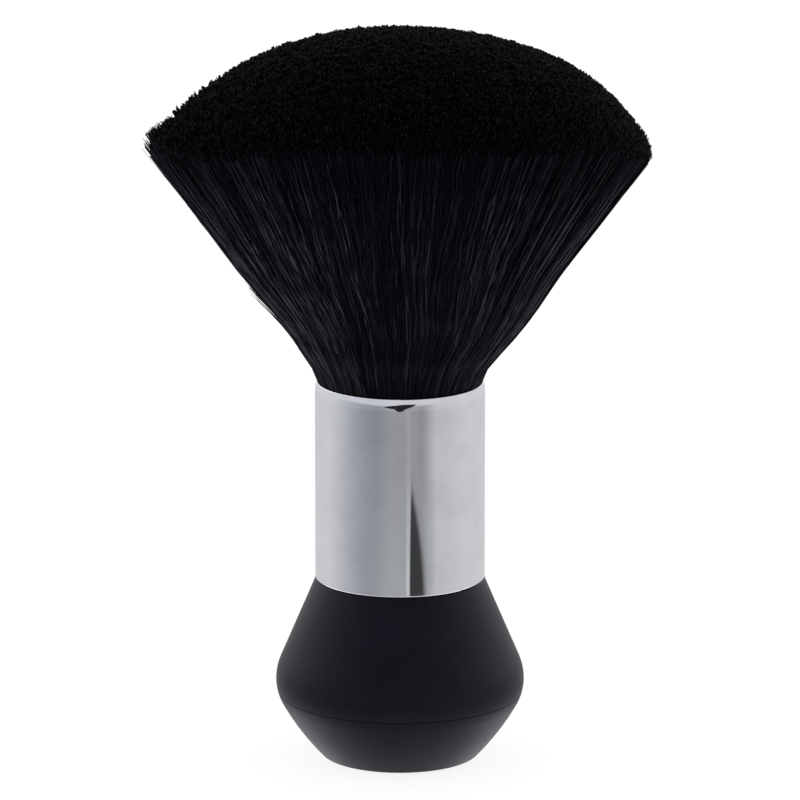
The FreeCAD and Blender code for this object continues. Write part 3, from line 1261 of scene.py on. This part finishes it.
@dataclass(frozen=True)
class TableCard:
    """The card lying in front that the ferrule mirrors as a dark wedge beside a bright line.

    Its pattern follows the angle round from the front, in degrees, and the distance out, in mm.
    """

    near: float = 130 * MM
    far: float = 440 * MM
    half: float = 280 * MM
    lift: float = 0.5 * MM
    wedge_start: float = 150.0
    wedge_length: float = 150.0
    wedge_side: float = 14.5
    wedge_width: float = 25.0
    wedge_tone: float = 0.045
    card_tone: float = 0.42
    line_tone: float = 0.17
    cover: float = 0.65
    colour: Colour = (0.97, 1.0, 1.0)

    def build(self, level: float) -> None:
        """Lays it just above the floor.

        Args:
            level: The floor's height.
        """
        near, far, half, lift = self.near, self.far, self.half, level + self.lift
        corners = [(-half, -far, lift), (half, -far, lift), (half, -near, lift), (-half, -near, lift)]
        card, g = sheet("table_card", corners)
        x, y, _ = g.node("ShaderNodeTexCoord", output="Object").split()
        around = bearing(g, x, y)
        away = g.root(x * x + y * y) * (1 / MM)
        near_by = g.step(away, 170, 330, 1.0, 0.0)

        left = self.wedge_side - 2.5 * near_by
        reach = (away - self.wedge_start) / self.wedge_length
        width = self.wedge_width * (1 - reach * reach)
        right = self.wedge_side + width * g.step(away, self.wedge_start - 2, self.wedge_start + 16)
        dark = g.step(around - left, 0.0, 1.2) * g.step(right - around, 0.0, 11.0)
        dark = dark * g.step(away, 310, 265)
        line = g.step(around, 6.0, 9.5) * g.step(left - around, -0.5, 0.8) * (0.3 + 0.7 * near_by)
        fill = g.step(around, -60.0, -5.0) * g.step(left - around, 0.0, 4.0)
        fill = fill + g.step(around - right, -3.0, 3.0) * g.step(around, 50.0, 38.0)

        cover = g.most(g.most(dark, line), self.cover * near_by * fill)
        tone = self.wedge_tone * dark + (1 - dark) * (self.card_tone + self.line_tone * line)
        glow = g.node("ShaderNodeEmission", inputs={"Color": rgba(self.colour), "Strength": tone})
        clear = g.node("ShaderNodeBsdfTransparent")
        both = g.node("ShaderNodeMixShader", inputs={0: cover, 1: clear, 2: glow})
        g.add("ShaderNodeOutputMaterial", inputs={"Surface": both})
        mirror_only(card)


@dataclass(frozen=True)
class DarkFlag:
    """The dark flag in front, seen as a small mark in the ferrule's rolled lip."""

    away: float = 420 * MM
    tone: float = 0.02
    outline: tuple[tuple[float, float], ...] = (
        (-15, 8), (-60, 50), (-150, 80), (-170, 98), (-90, 116), (0, 126),
        (90, 138), (160, 144), (172, 132), (130, 104), (60, 54), (15, 8),
    )

    def build(self) -> None:
        """Stands it up."""
        corners = [(x * MM, -self.away, z * MM) for x, z in self.outline]
        flag, g = sheet("dark_flag", corners)
        glow = g.node("ShaderNodeEmission", inputs={"Color": WHITE, "Strength": self.tone})
        g.add("ShaderNodeOutputMaterial", inputs={"Surface": glow})
        mirror_only(flag)


@dataclass(frozen=True)
class Room:
    """White all round to the eye. Its light is bright at the sides and back and dim in front."""

    white: float = 1.02
    low_tone: float = 0.295
    lip_tone: float = 0.66
    front_tone: float = 0.25
    side_tone: float = 1.45
    neutral: Colour = (0.975, 0.985, 1.01)
    cool: Colour = (0.94, 0.965, 1.06)

    def under(self, g: Graph, around: Wire, z: Wire) -> Wire:
        """The light from below the horizon, which the ferrule and the foot mirror.

        Args:
            g: The world's graph.
            around: The angle round from the front, in degrees.
            z: How far up the light comes from, -1 to 1.

        Returns:
            The light's strength.
        """
        left = g.step(around, -122.0, -30.0, 1.0, 0.0)
        right = g.step(around, 27.0, 53.0) * 0.76 + g.step(around, 53.0, 110.0) * 0.24
        middle = g.step(around, -32.0, -12.0) * g.step(around, 16.0, 34.0, 1.0, 0.0)
        below = g.step(z, -0.40, -0.56) * g.step(z, -0.86, -0.70)
        back = g.step(g.size(around), 90.0, 130.0) * g.step(z, -0.35, -0.6)
        low = self.low_tone + 0.35 * g.most(left, right) + 0.04 * middle + 0.4 * below + 0.45 * back
        return low + 0.05 * g.step(z, -0.22, -0.12)

    def over(self, g: Graph, around: Wire, z: Wire) -> Wire:
        """The light from above the horizon, which the handle and the hair catch.

        Args:
            g: The world's graph.
            around: The angle round from the front, in degrees.
            z: How far up the light comes from, -1 to 1.

        Returns:
            The light's strength.
        """
        turn = g.size(around)
        side = g.step(turn, 35.0, 110.0) * g.step(turn, 130.0, 170.0, 1.0, 0.7)
        front = self.front_tone + 0.2 * g.step(z, 0.3, 0.9)
        return front + (self.side_tone * g.step(z, 1.1, 0.4) - front) * side

    def build(self) -> None:
        """Makes it the scene's world."""
        world = bpy.data.worlds.new("studio")
        bpy.context.scene.world = world
        g = Graph.of(world)
        x, y, z = g.node("ShaderNodeTexCoord", output="Generated").split()
        around = bearing(g, x, y)
        level = self.under(g, around, z)
        lip = self.lip_tone + 0.6 * g.step(g.size(around), 80.0, 120.0)
        level = level + (lip - level) * g.step(z, 0.02, 0.1)
        level = level + (self.over(g, around, z) - level) * g.step(z, 0.26, 0.42)
        cool = g.step(around, -100.0, -55.0) * g.step(around, -24.0, -10.0, 1.0, 0.0)
        tint = g.blend(cool, rgba(self.neutral), rgba(self.cool))
        seen = g.node("ShaderNodeLightPath", output="Is Camera Ray")
        glow = g.node(
            "ShaderNodeBackground",
            inputs={
                "Color": g.blend(seen, tint, WHITE),
                "Strength": level + (self.white - level) * seen,
            },
        )
        g.add("ShaderNodeOutputWorld", inputs={"Surface": glow})


@dataclass
class Studio:
    """The camera, the pale floor and the soft light all round."""

    distance: float = 1430 * MM
    height: float = 429 * MM
    pitch_deg: float = 13.65
    lens: float = 297.0

    def camera(self) -> None:
        """The camera, in front and a little above."""
        data = bpy.data.cameras.new("camera")
        data.lens = self.lens
        data.sensor_width = 36.0
        data.clip_start = 0.05
        data.clip_end = 50.0
        eye = bpy.data.objects.new("camera", data)
        eye.location = (0.0, -self.distance, self.height)
        eye.rotation_euler = (math.radians(90 - self.pitch_deg), 0.0, 0.0)
        bpy.context.scene.collection.objects.link(eye)
        bpy.context.scene.camera = eye

    def tone(self) -> None:
        """Plain tones, with no film look."""
        view = bpy.context.scene.view_settings
        view.view_transform = "Standard"
        view.look = "None"
        view.exposure = 0.0
        view.gamma = 1.0

    def build(self, level: float) -> None:
        """Sets up everything that isn't the brush.

        Args:
            level: The height that the brush stands on.
        """
        self.camera()
        Floor().build(level)
        TableCard().build(level)
        DarkFlag().build()
        Room().build()
        self.tone()
        LOG.info("studio set")


def main() -> None:
    """Builds the looks in order."""
    logging.basicConfig(level=logging.INFO, format="%(name)s: %(message)s")
    model = Frame.read()
    finishes = Finishes()
    Studio().build(model.low.z)
    Handle().dress(finishes)
    Knot().dress(finishes)
    Tuft(FanShape.from_frame()).grow(finishes)
    model.write()


if __name__ == "__main__":
    main()
